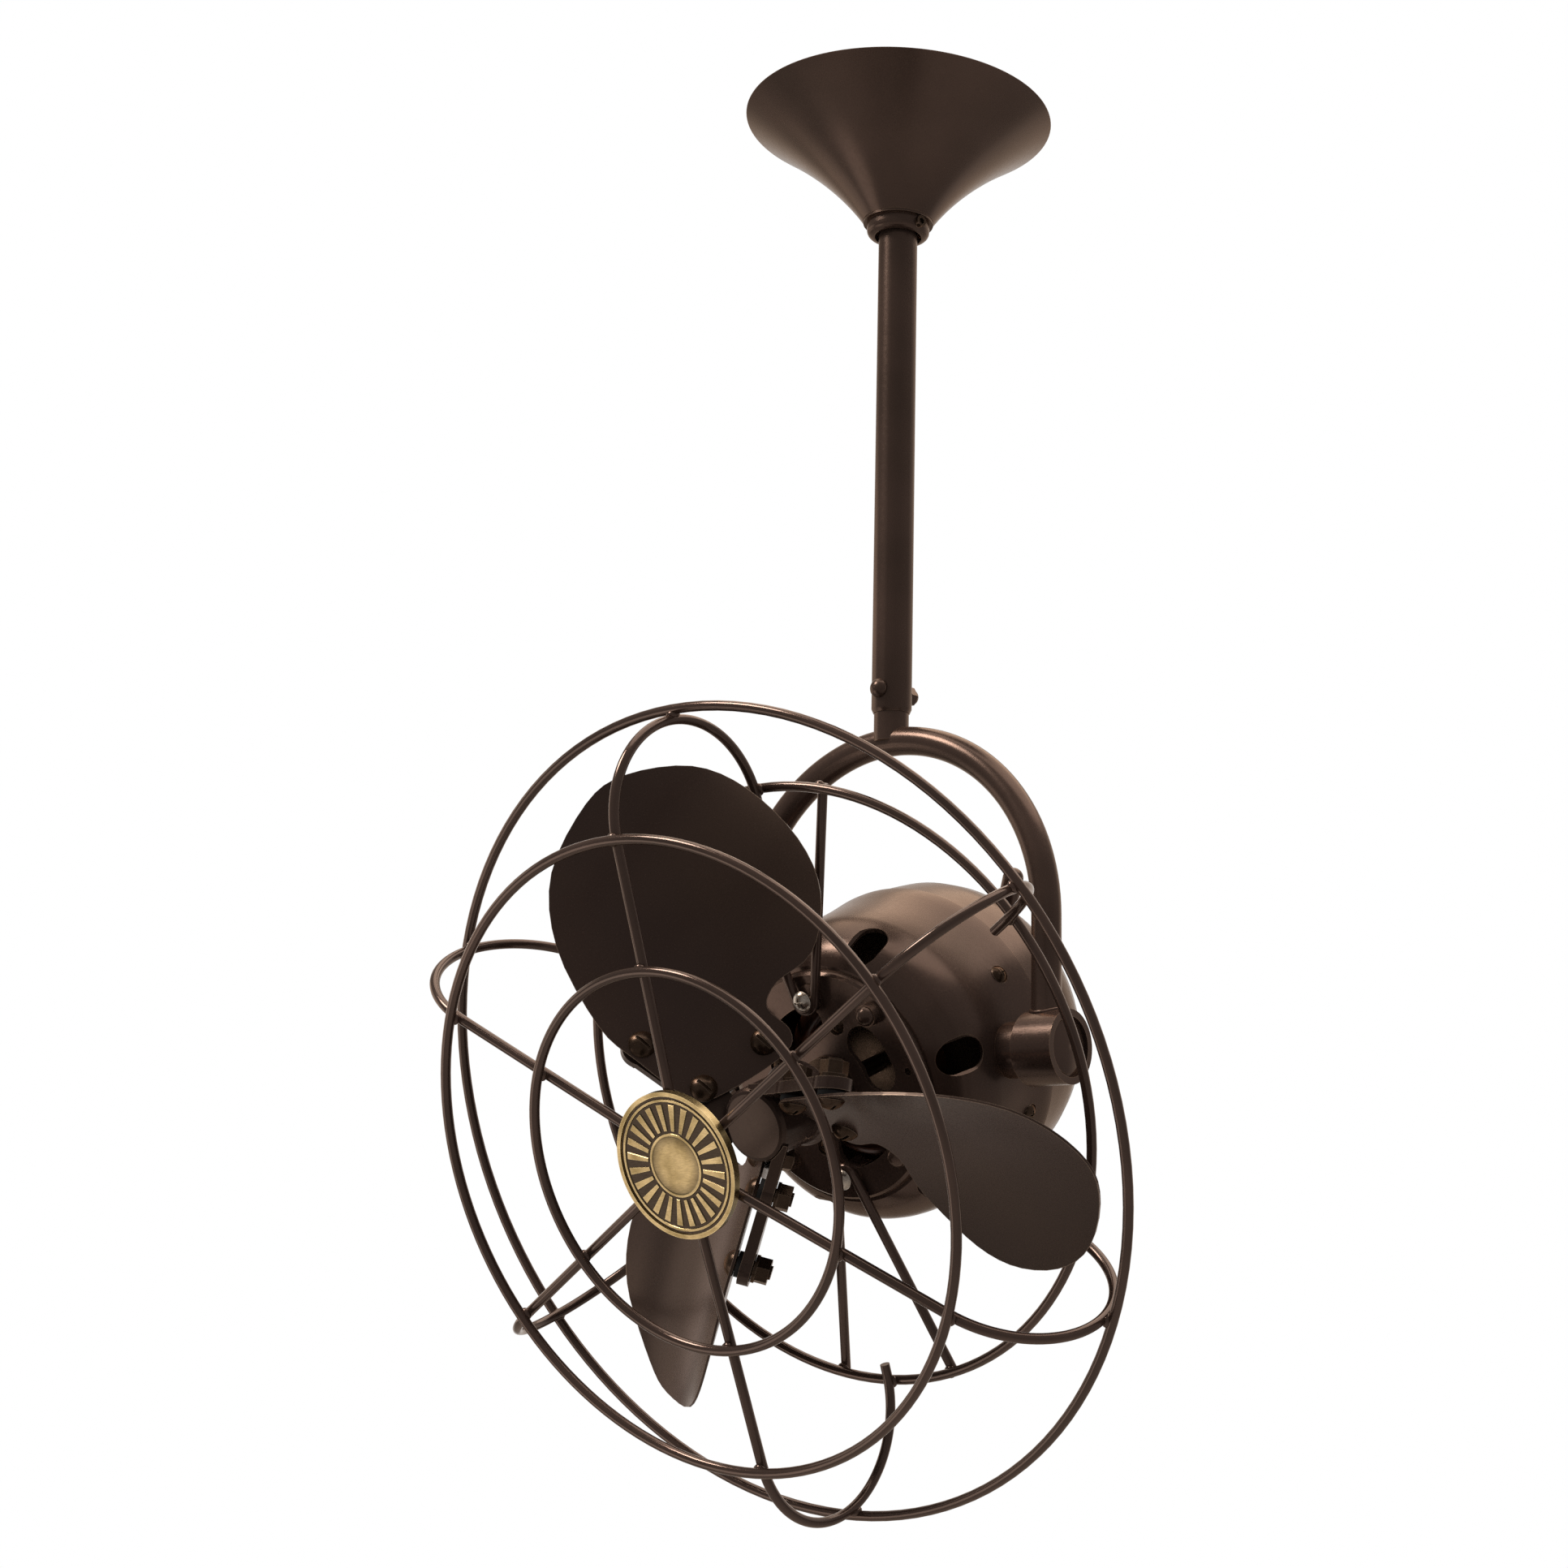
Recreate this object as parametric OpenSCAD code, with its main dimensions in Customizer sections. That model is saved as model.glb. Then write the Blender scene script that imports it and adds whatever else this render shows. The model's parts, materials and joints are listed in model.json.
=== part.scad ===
// Directional ceiling fan: one caged fan head in a yoke on a downrod.
// The origin is the middle of the ceiling face, +Z is up, the fan looks along -Y.
// Lengths are in millimetres and angles in degrees.

/* [Ceiling mount] */
// Radius of the canopy at the ceiling
canopy_r = 75.7; // [70:0.1:90]
// Height of the canopy from the ceiling to its collar
canopy_h = 53.5; // [50:0.5:62]
// Thickness of the canopy's spun sheet
canopy_wall = 1.2; // [1:0.1:1.8]
// How far the canopy's side hollows in from a straight cone
canopy_flare = 10.9; // [0:0.1:14]
// Radius of the collar under the canopy
collar_r = 15.4; // [15:0.1:18]
// Height of the collar that shows
collar_h = 8; // [7.5:0.5:12]
// Distance between the slots for the ceiling box screws
box_screw_pitch = 88.9; // [82:0.1:96]
// Radius of the ceiling box screw slots
box_screw_r = 2.5; // [2:0.1:3]
// Length of each ceiling box screw slot
box_slot_l = 12; // [8:0.5:16]
// Thickness of the hanger bracket
bracket_t = 2.5; // [2:0.1:3.5]
// Width of the hanger bracket
bracket_w = 26; // [22:0.5:32]

/* [Downrod and yoke] */
// Outer radius of the downrod
rod_r = 9.525; // [9:0.005:11]
// Wall of the downrod
rod_wall = 1.25; // [1:0.05:1.6]
// Depth of the downrod's lower end below the ceiling
rod_bottom = 303.5; // [250:0.5:700]
// Height of the yoke's arch over the pivot line, to the middle of the tube
yoke_rise = 148.4; // [142:0.1:180]
// Distance from the housing's seam out to the middle of the yoke's tube
yoke_gap = 15.8; // [14:0.1:22]
// Radius of the yoke's tube
yoke_tube_r = 6.75; // [6:0.05:7.5]
// Wall of the yoke's tube
yoke_wall = 1.5; // [1.2:0.1:2]
// Distance from the downrod's end to the middle of the arch's tube
stub_drop = 13.8; // [12:0.1:20]
// Radius of the pivot barrels
barrel_r = 16.5; // [15.5:0.1:18]
// Length of each pivot barrel
barrel_l = 20.8; // [19:0.1:24]
// Radius of the pivot bolts
pivot_r = 5; // [4:0.1:5.5]
// Downward tilt of the head at rest
tilt = 21; // [0:1:60]

/* [Motor housing] */
// Radius of the housing at its seam
shell_r = 73.8; // [73:0.1:76]
// Thickness of the housing's wall
shell_wall = 2.4; // [2:0.1:3]
// Distance of the seam behind the pivot line
seam_back = 26.5; // [24:0.5:30]
// Radius of the housing's front face
face_r = 52.5; // [51:0.1:54]
// Length of the rear dome behind the seam
dome_l = 68.5; // [64:0.5:80]
// Inner reach of the kidney openings in the front face
kidney_r1 = 21; // [20:0.5:23]
// Outer reach of the kidney openings in the front face
kidney_r2 = 38; // [34:0.5:38.5]
// Half the width of the side vents
vent_r = 7; // [5:0.5:8]
// Radius of the circle that the tie bolts stand on
tie_r = 45; // [44:0.1:46]
// Radius of the motor shaft
shaft_r = 4; // [3.5:0.1:4.5]
// Distance of the strut screws from the shaft
strut_screw_r = 41; // [40:0.5:43]

/* [Wire guard] */
// Diameter of the guard's wire
wire_d = 4.35; // [3.6:0.05:5]
// Radius from the shaft to the middle of the guard's side bends
guard_bend_at = 131.8; // [128:0.1:140]
// Radius of the guard's side bends
guard_bend_r = 43.7; // [42:0.1:48]
// Distance of the guard's rear legs in front of the pivot line
guard_leg_s = 47.15; // [46.5:0.05:49]
// Slope of the guard's front, out and back
guard_dish = 1.9; // [0:0.1:3]
// Radius of the inner front ring
inner_ring_r = 80.7; // [60:0.1:100]
// Radius of the outer front ring
outer_ring_r = 134.9; // [132:0.1:140]
// Radius of the rear ring
rear_ring_r = 136.5; // [134:0.1:142]
// Half the angle between the two ends of a strut
strut_spread = 13; // [10:0.5:18]
// Radius of the round badge
badge_r = 31.2; // [26:0.1:36]
// Thickness of the badge
badge_t = 3.2; // [2:0.1:5]

/* [Fan blades] */
// Radius of the curve that the blades are rolled to
blade_curve_r = 109.3; // [95:0.1:125]
// Thickness of a blade
blade_t = 1.2; // [0.8:0.1:1.6]
// Length of a blade
blade_l = 137.5; // [120:0.5:139]
// Width of a blade across its chord
blade_w = 117; // [100:0.5:119]
// Distance of the blade's root from the shaft
blade_root = 15; // [14:0.5:18]
// Turn of the blade's section at the shaft line
blade_pitch = 52.7; // [50:0.1:57]
// Forward lean of the blades
blade_cone = 13.4; // [10:0.1:15]
// Distance of the blades' crossing point in front of the pivot line
blade_s = 79.25; // [78:0.05:82]
// Thickness of the iron that carries a blade
iron_t = 5; // [3:0.1:5.5]
// Gap between a blade and its iron
iron_gap = 2.6; // [2:0.1:3]
// Radius of the hub's nose
hub_r = 16.5; // [15:0.1:18]
// Distance of the hub's nose face in front of the pivot line
hub_nose_s = 95; // [92:0.5:98]

/* [Hidden] */
$fn = 48;
run_fit = 0.05;
seat_fit = 0.02;
face_fit = 0.1;

// Colours
bronze = "#3a2c25";
dark_bronze = "#2a211d";
blackened = "#1d1917";
brass = "#a58a55";
steel = "#8c8b88";
copper = "#7a4a2c";
black_rubber = "#141312";

// Ceiling mount
canopy_neck_r = 17.4;
collar_lip_r = 11.2;
collar_bore = collar_lip_r + 0.3;
collar_sleeve_h = 6;
collar_shelf_r = canopy_neck_r - 0.2;
collar_shelf_t = 1.2;
collar_screw_r = 2.5;
collar_screw_head_r = 2.7;
collar_screw_z = -(canopy_h + 4.4);
collar_screw_turn = -9;
collar_lip = 3.4;
rod_top = 10;
hanger_bolt_z = -19;
hanger_bolt_r = 3;
hanger_gap = 0.15;
hanger_leg_t = bracket_t;
hanger_leg_x = rod_r + hanger_gap;
hanger_leg_h = 28;
bracket_l = box_screw_pitch + box_slot_l + 16;
wire_hole_r = 8;
ground_screw_x = 24;
ground_screw_r = 2;

// Downrod and yoke
pivot_z = -(rod_bottom + stub_drop + yoke_rise);
yoke_r = shell_r + yoke_gap;
arch_z = pivot_z + yoke_rise - yoke_r;
stub_r = rod_r - rod_wall - run_fit;
stub_top = rod_bottom - 24;
cross_bolt_z = -(rod_bottom - 10.7);
cross_bolt_r = 2.5;
cross_head_r = 4.5;
cross_head_h = 3.6;
cross_nut_h = 4.4;
fillet_w = 5;
fillet_h = 4.6;
barrel_in = yoke_r - 7.8;
barrel_web = 9.5;
barrel_cup_r = barrel_r - 3.2;
cap_t = 3;
cap_sink = 0.6;
bush_wall = 2;
bush_r = pivot_r + run_fit + bush_wall;
pivot_head_r = pivot_r + 3.5;
pivot_head_h = 4.5;
pivot_head_gap = 0.1;

// Wire guard
wire_r = wire_d / 2;
weld_gap = 0.03;
bend_swell = 0.01;
bend_lap = 0.15;
weld_d = wire_d + weld_gap;
guard_bend_s = guard_leg_s + guard_bend_r;
guard_leg_end = max(4.5, guard_bend_at - rear_ring_r + wire_d);
spoke_n = 6;
spoke_turn = 30;
spoke_root = 7;
ring_tuck = 5.4;
main_ring_r = guard_bend_at + (guard_bend_r + weld_d) * cos(ring_tuck);
main_ring_s = guard_bend_s - (guard_bend_r + weld_d) * sin(ring_tuck);
rear_past = max(0, rear_ring_r - guard_bend_at);
rear_ring_s = guard_bend_s - sqrt(pow(guard_bend_r + weld_d, 2) - pow(rear_past, 2));
front_tangent_r = guard_bend_at + guard_bend_r * sin(guard_dish);
front_tangent_s = guard_bend_s + guard_bend_r * cos(guard_dish);
outer_ring_s = front_ring_s(outer_ring_r);
inner_ring_s = front_ring_s(inner_ring_r);
spoke_root_s = front_tangent_s + (front_tangent_r - spoke_root) * tan(guard_dish);
plate_r = 20;
plate_t = 2;
badge_back = spoke_root_s + wire_r + weld_gap;
plate_front = spoke_root_s - wire_r - (plate_r - spoke_root) * tan(guard_dish) - weld_gap;
rivet_r = 2;
badge_rim_w = 1.8;
badge_dish = 0.7;
strut_loop_r = 5;
strut_screw_shank_r = 2;
strut_screw_head_r = 4.7;
strut_boss_r = strut_screw_head_r + 1.6;
strut_turn = 90;
strut_out = rear_ring_r * cos(strut_spread) - strut_screw_r;
strut_end_s = rear_ring_s - weld_d;

// Motor housing
pivot_boss_r = 12.5;
washer_t = 1.8;
pivot_boss_x = barrel_in - washer_t - 2 * face_fit;
side_r = shell_r - 2.8;
shoulder_s = 25;
face_rim_r = face_r + 2.2;
face_s = guard_leg_s - 4.55;
strut_rise = face_s + wire_r + weld_gap - strut_end_s;
strut_s = strut_end_s + strut_rise * (1 + strut_boss_r / strut_out);
strut_lean = atan2(strut_s - strut_end_s, strut_out);
strut_head_s = strut_s + wire_r / cos(strut_lean) + strut_screw_head_r * tan(strut_lean) + weld_gap;
plate_s = face_s - 3.4;
face_step = 4.6;
dome_r = shell_r - 1.8;
dome_mid = 13.5;
spigot_h = 4;
spigot_t = 1.6;
kidney_n = 4;
kidney_turn = 24;
kidney_span = 62;
rib_turn = kidney_turn + 180 / kidney_n;
face_screw_at = 29.5;
face_screw_r = 2;
tie_bolt_r = 2;
tie_boss_r = 5.2;
tie_turn = 45;
tie_head_s = -(seam_back + 38);
vent_n = 6;
vent_turn = 6;
vent_l = 22;
vent_in = 8.5;
vent_mid_r = side_r - vent_in;
vent_mid_s = 27;
vent_lean = 30;
vent_lip_at = 1.8;
vent_lip = 7;
shell_screw_turn = 26.5;
shell_screw_s = -11;
shell_screw_r = 2;
shell_screw_head_r = 4.1;
shell_screw_at = side_r + 1;
bearing_r = 11;
bearing_w = 7;
bearing_s = face_s - bearing_w - 1;
rear_bearing_s = -(seam_back + 42);
bearing_boss_r = bearing_r + 3.2;
retainer_t = 2;
shaft_back = 1.5;
stator_r = shell_r - 8.3;
pivot_tip_gap = 2.3;
pivot_reach = pivot_boss_x - stator_r - pivot_tip_gap;
stator_bore = 26.5;
rotor_gap = 0.5;
stator_back = -18;
stator_l = 26;
winding_r1 = 29;
winding_r2 = 40;
winding_h = 14;
capacitor_r = 12;
capacitor_l = 30;
capacitor_x = -36;
capacitor_s = -seam_back - capacitor_l - 6;
lug_turn = 62;
lug_s = -80;
lug_r = 5;
lug_proud = 4;
lug_reach = dome_r + lug_proud;
lug_hole_r = 1.8;

// Hub and blades
blade_n = 3;
blade_turn = 125;
hub_back_s = 62;
hub_boss_r = 12;
hub_boss_back = 56;
hub_flare_r = 19;
hub_screw_r = 1.5;
// Distances round the blade's rolled curve
chord_mid = -37.1;
blade_sag = 30;
sheet_clear = 5;
// Blade outline in hundredths of its length and width, round from the tip
blade_shape = [
    [99.7, 43.6], [92.7, 70.8], [75, 88.7], [48.2, 98.9], [31.7, 98.9], [11, 96], [4.2, 83.2], [0, 62.6],
    [3.8, 55.5], [14, 55], [17, 45.9], [15, 28.5], [25, 9.8], [41.3, 0.2], [63.4, -1], [81.4, 6.5],
    [96.1, 25.7]
];
blade_steps = 4;
// Blade screws: reach along the blade, distance round the blade's curve
blade_screw_at = [[62.4, 16.5], [30.5, 12.8], [25.2, -19.4]];
blade_screw_r = 3;
blade_head_r = 6;
blade_head_h = 3.8;
blade_head_lift = 0.26;
spacer_r = 5.6;
spacer_lift = 0.3;
blade_washer_r = 6;
blade_washer_t = 1.4;
blade_nut_r = 5.9;
blade_nut_h = 5.4;
iron_w = 15;
iron_turn = 14.9;
iron_root = 6;
iron_pad = 0.6;

// Where a ring of radius r rests on the spokes' fronts
function front_ring_s(r) = r > front_tangent_r
    ? guard_bend_s + sqrt(pow(guard_bend_r + weld_d, 2) - pow(r - guard_bend_at, 2))
    : front_tangent_s + (front_tangent_r - r) * tan(guard_dish) + weld_d / cos(guard_dish);
// The turn that a distance round the blade's curve makes
function curve_turn(l) = l / blade_curve_r * 180 / PI;
// A point of a parabola from a to c, pulled by b
function bow(a, b, c, k) = (1 - k) * (1 - k) * a + 2 * k * (1 - k) * b + k * k * c;
// A smooth closed curve through a list of points
function smooth(p, n) = [
    for (i = [0:len(p) - 1])
    let (a = p[(i + len(p) - 1) % len(p)], b = p[i], c = p[(i + 1) % len(p)], d = p[(i + 2) % len(p)])
    for (j = [0:n - 1])
    let (k = j / n)
    0.5 * ((2 * b) + (c - a) * k + (2 * a - 5 * b + 4 * c - d) * k * k
        + (3 * b - a - 3 * c + d) * k * k * k)
];
// Points of the canopy's curve, inset by w
function canopy_curve(w) = [
    for (k = [0:0.1:1])
    bow([canopy_neck_r - w, -canopy_h], [(canopy_neck_r + canopy_r) / 2 - canopy_flare - w, -canopy_h / 2],
        [canopy_r - w, 0], k)
];
// Points of the front shell's side and shoulder, inset by w
function front_curve(w) = concat(
    [[shell_r - w, -seam_back], [shell_r - w, -seam_back + 3], [side_r + 1.2 - w, -10]],
    [for (k = [0:0.125:1]) bow([side_r - w, 8], [side_r - 0.8 - w, shoulder_s + 6 - w],
        [face_rim_r - w / 2, face_s - face_step - w], k)]
);
// Points of the rear dome, from the seam to its pole, inset by w
function dome_curve(w) = concat(
    [[dome_r + 0.8 - w, -seam_back]],
    [for (a = [0:10:90]) [(dome_r - w) * cos(a), -seam_back - dome_mid - (dome_l - dome_mid - w) * sin(a)]]
);

// The head's own frame: X along the pivots, Y up the face, Z forward along the shaft
module in_head() {
    translate([0, 0, pivot_z]) rotate([90 + tilt, 0, 0]) children();
}
// The frame of one blade: X out along it, Z to the front, the rolled curve's axis at Z
module in_blade(i) {
    in_head()
        rotate([0, 0, blade_turn - (i - 1) * 360 / blade_n])
        translate([0, 0, blade_s])
        rotate([0, -blade_cone, 0])
        rotate([blade_pitch, 0, 0])
        children();
}
// A spot on the rolled curve: x along the blade, l round the curve
module on_curve(x, l) {
    translate([x, 0, blade_curve_r])
        rotate([curve_turn(l), 0, 0])
        translate([0, 0, -blade_curve_r])
        children();
}
module both_sides() {
    children();
    mirror([1, 0, 0]) children();
}
module ring_of(n, first) {
    for (i = [0:n - 1]) rotate([0, 0, first + i * 360 / n]) children();
}
module tube(r_out, r_in, h) {
    difference() {
        cylinder(r = r_out, h = h);
        translate([0, 0, -1]) cylinder(r = r_in, h = h + 2);
    }
}
module hex(across_corners_r, h) {
    cylinder(r = across_corners_r, h = h, $fn = 6);
}
// A flat bar between two points
module bar(a, b, w) {
    d = b - a;
    translate(a) rotate(atan2(d[1], d[0])) translate([0, -w / 2]) square([norm(d), w]);
}
// A slot with round ends between two points
module link(a, b, r) {
    translate(a) circle(r = r);
    translate(b) circle(r = r);
    bar(a, b, 2 * r);
}
// A round head: a shallow dome on z = 0
module dome_head(r, h) {
    ball = (r * r + h * h) / (2 * h);
    intersection() {
        translate([0, 0, h - ball]) sphere(r = ball, $fn = 180);
        cylinder(r = r, h = h);
    }
}
module cross_cut(r, h) {
    for (a = [0, 90]) rotate([0, 0, a]) translate([-r, -r / 6, 0]) cube([2 * r, r / 3, h]);
}
module pan_screw(shank_r, shank_l, head_r, head_h) {
    translate([0, 0, -shank_l]) cylinder(r = shank_r, h = shank_l);
    difference() {
        dome_head(head_r, head_h);
        translate([0, 0, head_h - 1.1]) cross_cut(head_r * 0.5, 2);
    }
}

// Ceiling mount
module hanger_bracket() {
    slot_x = box_screw_pitch / 2;
    color(steel)
    difference() {
        union() {
            translate([-bracket_l / 2, -bracket_w / 2, -bracket_t]) cube([bracket_l, bracket_w, bracket_t]);
            both_sides()
                translate([hanger_leg_x, -bracket_w / 2, -hanger_leg_h])
                cube([hanger_leg_t, bracket_w, hanger_leg_h]);
        }
        for (side = [-1, 1]) translate([side * slot_x, 0, -bracket_t - 1]) linear_extrude(bracket_t + 2)
            link([-box_slot_l / 2 + box_screw_r, 0], [box_slot_l / 2 - box_screw_r, 0], box_screw_r);
        translate([0, 0, -bracket_t - 1]) cylinder(r = wire_hole_r, h = bracket_t + 2);
        translate([-bracket_w, 0, hanger_bolt_z]) rotate([0, 90, 0])
            cylinder(r = hanger_bolt_r + run_fit, h = 2 * bracket_w);
        translate([ground_screw_x, 0, -bracket_t - 1])
            cylinder(r = ground_screw_r + seat_fit, h = bracket_t + 2);
    }
}
module hanger_bolt() {
    reach = hanger_leg_x + hanger_leg_t;
    color(steel) translate([0, 0, hanger_bolt_z]) rotate([0, 90, 0]) {
        translate([0, 0, -reach]) cylinder(r = hanger_bolt_r, h = 2 * reach + 8);
        translate([0, 0, -reach - 4]) hex(hanger_bolt_r + 2.7, 4);
    }
}
module hanger_nut() {
    color(steel) translate([hanger_leg_x + hanger_leg_t, 0, hanger_bolt_z]) rotate([0, 90, 0])
    difference() {
        hex(hanger_bolt_r + 2.7, 5);
        translate([0, 0, -1]) cylinder(r = hanger_bolt_r + seat_fit, h = 7);
    }
}
module ground_screw() {
    color("#3f7a45") translate([ground_screw_x, 0, -bracket_t]) rotate([180, 0, 0])
        pan_screw(ground_screw_r, bracket_t, ground_screw_r + 2, 2.2);
}
module canopy() {
    outer = canopy_curve(0);
    inner = canopy_curve(canopy_wall);
    color(bronze) rotate_extrude() polygon(concat(
        outer,
        [for (i = [len(inner) - 1:-1:1]) inner[i]],
        [[canopy_neck_r - canopy_wall, -canopy_h + canopy_wall],
         [collar_bore + 2, -canopy_h + canopy_wall], [collar_bore + 2, -canopy_h]]
    ));
}
module canopy_collar() {
    top = -canopy_h;
    low = top - collar_h;
    color(dark_bronze) difference() {
        rotate_extrude() polygon(concat(
            [[collar_bore, top + collar_sleeve_h], [collar_bore + 1.6, top + collar_sleeve_h],
             [collar_bore + 1.6, top], [collar_shelf_r, top], [collar_shelf_r, top - collar_shelf_t],
             [collar_r, top - collar_shelf_t]],
            [for (k = [0:0.2:1])
                bow([collar_r, low + collar_lip], [collar_r, low + 0.5], [collar_bore + 0.6, low], k)],
            [[collar_bore, low]]
        ));
        rotate([0, 0, collar_screw_turn]) translate([0, 0, collar_screw_z]) rotate([0, 90, 0])
            cylinder(r = collar_screw_r + seat_fit, h = canopy_r);
    }
}
module collar_screw() {
    color(blackened) rotate([0, 0, collar_screw_turn]) translate([0, 0, collar_screw_z]) rotate([0, 90, 0])
    difference() {
        union() {
            translate([0, 0, rod_r + face_fit]) cylinder(r = collar_screw_r, h = collar_r - rod_r);
            translate([0, 0, collar_r + face_fit]) cylinder(r = collar_screw_head_r, h = 1.8);
        }
        translate([0, 0, collar_r]) hex(1.7, 4);
    }
}

// Downrod and yoke
module downrod() {
    rod_in = rod_r - rod_wall;
    color(bronze) difference() {
        rotate_extrude() polygon([
            [rod_in, -rod_top], [rod_r, -rod_top], [rod_r, 2 - rod_bottom], [rod_r - 0.9, -rod_bottom],
            [rod_in, -rod_bottom]
        ]);
        translate([-rod_r - 1, 0, hanger_bolt_z]) rotate([0, 90, 0])
            cylinder(r = hanger_bolt_r + run_fit, h = 2 * rod_r + 2);
        translate([0, rod_r + 1, cross_bolt_z]) rotate([90, 0, 0])
            cylinder(r = cross_bolt_r + seat_fit, h = 2 * rod_r + 2);
    }
}
module cross_bolt() {
    seat = rod_r + 0.1;
    color(dark_bronze) translate([0, 0, cross_bolt_z]) rotate([90, 0, 0]) {
        translate([0, 0, -seat - cross_nut_h]) cylinder(r = cross_bolt_r, h = 2 * seat + cross_nut_h);
        translate([0, 0, seat]) cylinder(r = cross_head_r, h = 1);
        translate([0, 0, seat + 1]) dome_head(cross_head_r, cross_head_h - 1);
    }
}
module cross_bolt_nut() {
    seat = rod_r + 0.1;
    color(dark_bronze) translate([0, seat, cross_bolt_z]) rotate([-90, 0, 0]) difference() {
        union() {
            hex(cross_head_r + 0.4, cross_nut_h);
            translate([0, 0, cross_nut_h]) dome_head(cross_head_r - 0.4, 3.8);
        }
        translate([0, 0, -1]) cylinder(r = cross_bolt_r + seat_fit, h = cross_nut_h + 1.1);
    }
}
module yoke_tubing(r) {
    translate([0, 0, arch_z]) rotate([90, 0, 0]) rotate_extrude(angle = 180)
        translate([yoke_r, 0]) circle(r = r);
    both_sides() translate([yoke_r, 0, pivot_z]) cylinder(r = r, h = arch_z - pivot_z);
}
module barrel_blank(r, x0, l) {
    both_sides() translate([x0, 0, pivot_z]) rotate([0, 90, 0]) cylinder(r = r, h = l);
}
// The weld's fillet between the stub and the arch, no wider than the arch's tube
module stub_fillet() {
    foot = -rod_bottom - stub_drop;
    shoulder = foot + yoke_tube_r - 1.6;
    intersection() {
        rotate_extrude() polygon(concat(
            [[stub_r - 1.5, foot], [stub_r + fillet_w, foot], [stub_r + fillet_w, shoulder]],
            [for (k = [0.2:0.2:1])
                bow([stub_r + fillet_w, shoulder], [stub_r, shoulder + 0.4],
                    [stub_r, shoulder + fillet_h], k)],
            [[stub_r - 1.5, shoulder + fillet_h]]
        ));
        linear_extrude(height = 2 * rod_bottom, center = true)
            link([-fillet_w - 4, 0], [fillet_w + 4, 0], yoke_tube_r - 0.9);
    }
}
module yoke() {
    stub_h = rod_bottom + stub_drop - stub_top;
    color(bronze) difference() {
        union() {
            yoke_tubing(yoke_tube_r);
            translate([0, 0, -rod_bottom - stub_drop]) cylinder(r = stub_r, h = stub_h);
            stub_fillet();
            barrel_blank(barrel_r, barrel_in, barrel_l);
        }
        difference() {
            union() {
                yoke_tubing(yoke_tube_r - yoke_wall);
                translate([0, 0, -rod_bottom - stub_drop])
                    cylinder(r = stub_r - yoke_wall, h = stub_h + 1);
            }
            barrel_blank(barrel_r - 1, barrel_in, barrel_l);
        }
        barrel_blank(bush_r + seat_fit, barrel_in - 1, barrel_web + 2);
        barrel_blank(barrel_cup_r, barrel_in + barrel_web, barrel_l);
        translate([0, stub_r + 1, cross_bolt_z]) rotate([90, 0, 0])
            cylinder(r = cross_bolt_r + seat_fit, h = 2 * stub_r + 2);
    }
}
module pivot_bushes() {
    color(brass) both_sides() translate([barrel_in, 0, pivot_z]) rotate([0, 90, 0])
        tube(bush_r, pivot_r + run_fit, barrel_web);
}
module pivot_caps() {
    seat_r = barrel_cup_r - seat_fit;
    color(dark_bronze) both_sides()
        translate([barrel_in + barrel_l - cap_t - cap_sink, 0, pivot_z]) rotate([0, 90, 0]) {
        cylinder(r = seat_r, h = cap_t - 1.6);
        cylinder(r = seat_r - 1.4, h = cap_t - 1);
        translate([0, 0, cap_t - 1]) dome_head(seat_r - 1.4, 1.6);
    }
}
module pivot_bolts() {
    head_x = barrel_in + barrel_web + pivot_head_gap;
    color(steel) both_sides() translate([pivot_boss_x - pivot_reach, 0, pivot_z]) rotate([0, 90, 0]) {
        cylinder(r = pivot_r, h = head_x - pivot_boss_x + pivot_reach);
        translate([0, 0, head_x - pivot_boss_x + pivot_reach]) hex(pivot_head_r, pivot_head_h);
    }
}
module pivot_washers() {
    color(black_rubber) both_sides() translate([pivot_boss_x + face_fit, 0, pivot_z]) rotate([0, 90, 0])
        tube(pivot_boss_r + 1, pivot_r + run_fit, washer_t);
}

// Motor housing
module side_bosses(r, x0, x1) {
    both_sides() translate([x0, 0, 0]) rotate([0, 90, 0]) cylinder(r = r, h = x1 - x0);
}
// Round posts or holes on a circle of the front face, from depth s0 to s1
module face_posts(first, at, r, s0, s1, n = 4) {
    ring_of(n, first) translate([at, 0, s0]) cylinder(r = r, h = s1 - s0);
}
// The seats of the four screws that join the shells, Z outwards
module at_shell_screws() {
    for (a = [-1, 1], side = [0, 180]) rotate([0, 0, side + a * shell_screw_turn])
        translate([shell_screw_at, 0, shell_screw_s]) rotate([0, 90, 0]) children();
}
// A side vent: a slot through the shell with a flared mouth
module vent_cut() {
    half = vent_l / 2 - vent_r;
    translate([vent_mid_r, 0, vent_mid_s]) rotate([0, 90 - vent_lean, 0]) {
        linear_extrude(2 * vent_r + 12, center = true) link([-half, 0], [half, 0], vent_r);
        for (x = [-half, half]) translate([x, 0, vent_lip_at])
            cylinder(r1 = vent_r, r2 = vent_r + vent_lip, h = vent_lip);
        translate([-half, 0, vent_lip_at]) rotate([90, 0, 90]) linear_extrude(2 * half) polygon([
            [-vent_r, 0], [vent_r, 0], [vent_r + vent_lip, vent_lip], [-vent_r - vent_lip, vent_lip]
        ]);
    }
}
module kidney_cut() {
    mid = (kidney_r1 + kidney_r2) / 2;
    half = (kidney_r2 - kidney_r1) / 2;
    arc = kidney_span / 2 - asin(half / mid);
    low = bearing_s - 6;
    rotate([0, 0, -arc]) rotate_extrude(angle = 2 * arc)
        translate([kidney_r1, low]) square([kidney_r2 - kidney_r1, face_s - low + 2]);
    for (a = [-arc, arc]) rotate([0, 0, a])
        translate([mid, 0, low]) cylinder(r = half, h = face_s - low + 2);
}
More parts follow.
